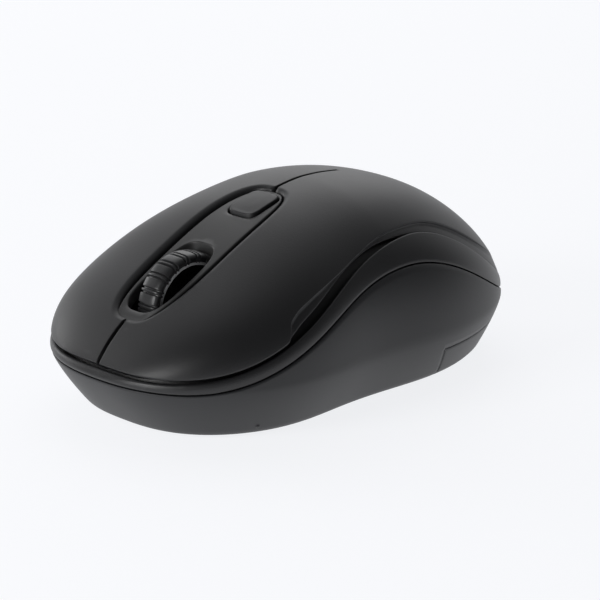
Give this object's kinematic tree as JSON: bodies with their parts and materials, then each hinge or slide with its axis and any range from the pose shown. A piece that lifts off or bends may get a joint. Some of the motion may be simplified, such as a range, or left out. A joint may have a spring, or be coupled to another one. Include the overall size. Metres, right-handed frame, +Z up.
{
  "type": "computer mouse",
  "caption": "Compact wireless computer mouse with two hinged buttons, tilting scroll wheel, speed key, sliding battery door and a stowed USB receiver.",
  "frame": {"origin": "on the resting plane, under the centre of the body's bounding box", "axes": "+Z up, +Y from the tail towards the buttons and nose, +X to the user's right when the mouse is held"},
  "size_m": [0.0612, 0.102, 0.04],
  "materials": {
    "base_black": "fine matte texture",
    "frame_black": "satin with a soft edge",
    "top_black": "fine matte texture",
    "console_black": "satin",
    "key_grey": "satin",
    "hub_gloss": "polished black",
    "tyre_rubber": "moulded rubber",
    "nylon_white": "natural nylon",
    "spring_steel": "drawn steel wire",
    "clear_resin": "clear epoxy",
    "smoked_resin": "dark epoxy",
    "board_green": "solder resist over fibreglass",
    "switch_black": "moulded nylon",
    "plunger_white": "moulded acetal",
    "chip_black": "moulded epoxy",
    "lens_clear": "clear polycarbonate",
    "led_red": "red clear epoxy",
    "can_steel": "drawn can",
    "capacitor_sleeve": "shrink sleeve",
    "cell_wrap": "plain silver wrap",
    "contact_nickel": "nickel plated",
    "slider_grey": "satin",
    "foot_ptfe": "slick low-friction film",
    "screw_steel": "blackened steel",
    "label_grey": "blank film",
    "cap_black": "satin",
    "usb_steel": "stamped nickel-plated steel",
    "tongue_white": "moulded nylon",
    "contact_gold": "gold flash"
  },
  "bodies": {
    "root": {"base_shell": "base_black", "mid_frame": "frame_black", "top_cover": "top_black", "centre_console": "console_black", "ir_emitter": "clear_resin", "ir_detector": "smoked_resin", "main_board": "board_green", "left_microswitch": "switch_black", "right_microswitch": "switch_black", "middle_switch": "switch_black", "key_board": "board_green", "key_switch": "switch_black", "optical_sensor": "chip_black", "sensor_lens": "lens_clear", "sensor_led": "led_red", "controller_chip": "chip_black", "crystal": "can_steel", "capacitors": "capacitor_sleeve", "battery_cell": "cell_wrap", "battery_spring": "spring_steel", "battery_plate": "contact_nickel", "power_switch": "switch_black", "front_feet": "foot_ptfe", "case_screws": "screw_steel", "blank_label": "label_grey"},
    "left_button": {"left_button": "top_black"},
    "right_button": {"right_button": "top_black"},
    "left_tip": {"left_plunger": "plunger_white"},
    "right_tip": {"right_plunger": "plunger_white"},
    "carrier": {"wheel_carrier": "nylon_white", "detent_spring": "spring_steel"},
    "wheel": {"wheel_hub": "hub_gloss", "wheel_tyre": "tyre_rubber"},
    "middle_tip": {"middle_plunger": "plunger_white"},
    "key": {"speed_key": "key_grey"},
    "key_tip": {"key_plunger": "plunger_white"},
    "door": {"battery_door": "base_black", "rear_foot": "foot_ptfe"},
    "power_knob": {"power_slider": "slider_grey"},
    "receiver": {"receiver_cap": "cap_black", "receiver_shell": "usb_steel", "receiver_tongue": "tongue_white", "receiver_contacts": "contact_gold"}
  },
  "joints": [
    {"name": "left_click", "type": "hinge", "parent": "root", "child": "left_button", "pos_m": [0, -0.01, 0.0355], "axis": [-1, 0, 0], "range_deg": [0, 0.85], "stiffness_Nm_per_rad": 1.2, "springref_deg": -1.15},
    {"name": "left_tip_slide", "type": "slide", "parent": "root", "child": "left_tip", "axis": [0, 0, -1], "range_m": [0, 0.0007]},
    {"name": "right_click", "type": "hinge", "parent": "root", "child": "right_button", "pos_m": [0, -0.01, 0.0355], "axis": [-1, 0, 0], "range_deg": [0, 0.85], "stiffness_Nm_per_rad": 1.2, "springref_deg": -1.15},
    {"name": "right_tip_slide", "type": "slide", "parent": "root", "child": "right_tip", "axis": [0, 0, -1], "range_m": [0, 0.0007]},
    {"name": "wheel_press", "type": "hinge", "parent": "root", "child": "carrier", "pos_m": [0, 0.039, 0.0115], "axis": [1, 0, 0], "range_deg": [0, 1.4], "stiffness_Nm_per_rad": 0.6, "springref_deg": -1.15},
    {"name": "wheel_spin", "type": "hinge", "parent": "carrier", "child": "wheel", "pos_m": [0, 0.0276, 0.0206], "axis": [1, 0, 0], "continuous": true},
    {"name": "middle_tip_slide", "type": "slide", "parent": "root", "child": "middle_tip", "axis": [0, 0, -1], "range_m": [0, 0.0005]},
    {"name": "key_press", "type": "slide", "parent": "root", "child": "key", "axis": [0, -0.282, -0.9594], "range_m": [0, 0.0004], "stiffness_N_per_m": 2500, "springref_m": -0.0002},
    {"name": "key_tip_slide", "type": "slide", "parent": "root", "child": "key_tip", "axis": [0, -0.282, -0.9594], "range_m": [0, 0.0005]},
    {"name": "door_slide", "type": "slide", "parent": "root", "child": "door", "axis": [0, -1, 0], "range_m": [0, 0.062]},
    {"name": "power_slide", "type": "slide", "parent": "root", "child": "power_knob", "axis": [0, 1, 0], "range_m": [0, 0.0025]},
    {"name": "receiver_slide", "type": "slide", "parent": "root", "child": "receiver", "axis": [0, 0, -1], "range_m": [0, 0.0195]}
  ],
  "couplings": [
    {"joint": "left_tip_slide", "follows": "left_click", "m_per_rad": 0.0405},
    {"joint": "right_tip_slide", "follows": "right_click", "m_per_rad": 0.0405},
    {"joint": "middle_tip_slide", "follows": "wheel_press", "m_per_rad": 0.017},
    {"joint": "key_tip_slide", "follows": "key_press", "ratio": 1}
  ]
}
